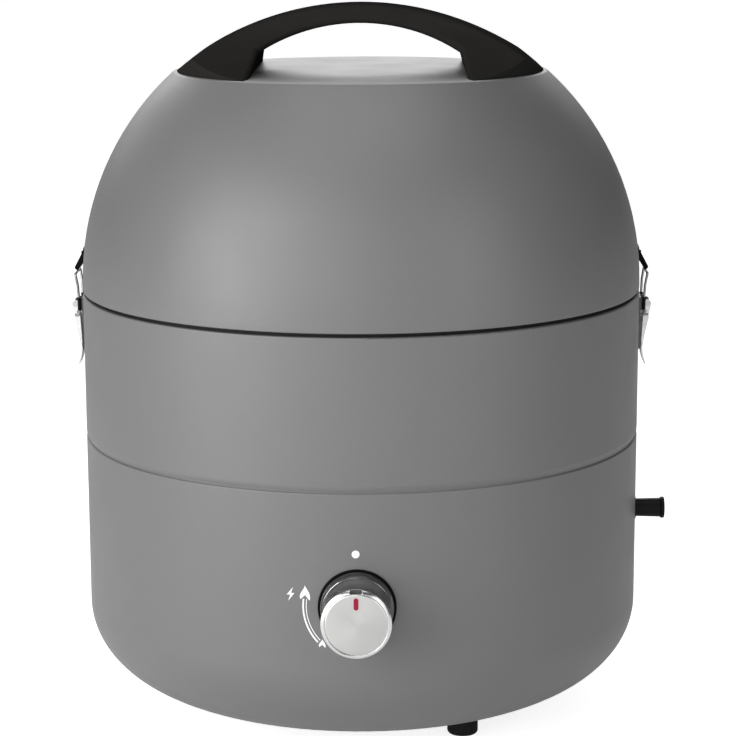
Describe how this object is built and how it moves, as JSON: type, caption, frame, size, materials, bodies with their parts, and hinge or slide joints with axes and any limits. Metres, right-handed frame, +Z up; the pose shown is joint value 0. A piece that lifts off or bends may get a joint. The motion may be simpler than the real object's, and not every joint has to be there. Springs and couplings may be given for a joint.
{
  "type": "portable gas grill",
  "caption": "Round portable gas grill with a lift-off domed lid, arched top handle, side toggle latches, push-and-turn control knob and side gas inlet.",
  "frame": {"origin": "centre of the circle through the three feet, in the plane they stand on, on the drum's axis", "axes": "+Z up along the drum's axis, -Y towards the front with the control knob, +X towards the gas inlet"},
  "size_m": [0.377, 0.3844, 0.444],
  "materials": {
    "grey_powder_coat": "satin powder coat, medium grey",
    "black_plastic": "satin heat-resistant black plastic",
    "black_steel": "black painted steel",
    "enamel": "black enamel",
    "rubber": "matt black rubber",
    "chrome": "polished",
    "brushed_face": "fine brushed disc",
    "bright_steel": "bright plated steel",
    "plated_steel": "zinc plated steel",
    "brass": "plain turned brass",
    "cast_aluminium": "as cast",
    "ceramic": null,
    "wire_cover": "silicone-covered wire",
    "red_mark": "red enamel fill",
    "white_print": "white screen-printed ink, 0.12 mm thick"
  },
  "bodies": {
    "housing": {"base_shell": "grey_powder_coat", "bowl_brackets": "plated_steel", "burner_head": "cast_aluminium", "burner_strap": "plated_steel", "dial_marks": "white_print", "electrode": "ceramic", "feet": "rubber", "fire_bowl": "enamel", "flange_screws": "plated_steel", "foot_screws": "plated_steel", "gas_inlet": "black_plastic", "gas_pipe": "brass", "gas_valve": "brass", "grate_rests": "plated_steel", "heat_plate": "plated_steel", "ignition_wire": "wire_cover", "injector": "brass", "inlet_nut": "plated_steel", "knob_bezel": "black_plastic", "latch_pin_left": "plated_steel", "latch_pin_right": "plated_steel", "latch_plate_left": "plated_steel", "latch_plate_right": "plated_steel", "mixing_tube": "plated_steel", "piezo_igniter": "black_plastic", "plate_rivets_left": "plated_steel", "plate_rivets_right": "plated_steel", "ring_shell": "grey_powder_coat", "seal_ring": "rubber", "side_screw_left": "black_steel", "side_screw_right": "black_steel", "valve_bracket": "black_steel"},
    "lid": {"lid_shell": "grey_powder_coat", "lid_handle": "black_plastic", "handle_screws": "plated_steel", "handle_washers": "plated_steel", "lid_catch_left": "black_steel", "lid_catch_right": "black_steel", "catch_rivet_left": "plated_steel", "catch_rivet_right": "plated_steel"},
    "grate": {"cooking_grate": "bright_steel"},
    "valve_rotor": {"valve_plug": "brass"},
    "knob": {"valve_stem": "plated_steel", "knob_body": "chrome", "knob_face": "brushed_face", "knob_pointer": "red_mark"},
    "lever_left": {"latch_lever_left": "bright_steel"},
    "lever_right": {"latch_lever_right": "bright_steel"},
    "bail_left": {"latch_bail_left": "bright_steel", "bail_sleeves_left": "black_plastic"},
    "bail_right": {"latch_bail_right": "bright_steel", "bail_sleeves_right": "black_plastic"}
  },
  "joints": [
    {"name": "lid_lift", "type": "slide", "parent": "housing", "child": "lid", "axis": [0, 0, 1], "range_m": [0, 0.2]},
    {"name": "grate_lift", "type": "slide", "parent": "housing", "child": "grate", "axis": [0, 0, 1], "range_m": [0, 0.03]},
    {"name": "knob_turn", "type": "hinge", "parent": "housing", "child": "valve_rotor", "pos_m": [0, -0.155, 0.1085], "axis": [0, -1, 0], "range_deg": [0, 140]},
    {"name": "knob_push", "type": "slide", "parent": "valve_rotor", "child": "knob", "axis": [0, 1, 0], "range_m": [0, 0.0045], "stiffness_N_per_m": 700, "springref_m": -0.004},
    {"name": "lever_swing_left", "type": "hinge", "parent": "housing", "child": "lever_left", "pos_m": [-0.1805, 0, 0.2564], "axis": [0, 1, 0], "range_deg": [0, 140]},
    {"name": "bail_swing_left", "type": "hinge", "parent": "lever_left", "child": "bail_left", "pos_m": [-0.1797, 0, 0.2514], "axis": [0, 1, 0], "range_deg": [-154, 0]},
    {"name": "lever_swing_right", "type": "hinge", "parent": "housing", "child": "lever_right", "pos_m": [0.1805, 0, 0.2564], "axis": [0, -1, 0], "range_deg": [0, 140]},
    {"name": "bail_swing_right", "type": "hinge", "parent": "lever_right", "child": "bail_right", "pos_m": [0.1797, 0, 0.2514], "axis": [0, -1, 0], "range_deg": [-154, 0]}
  ],
  "couplings": [
    {"joint": "bail_swing_left", "follows": "lever_swing_left", "ratio": -1.1},
    {"joint": "bail_swing_right", "follows": "lever_swing_right", "ratio": -1.1}
  ]
}
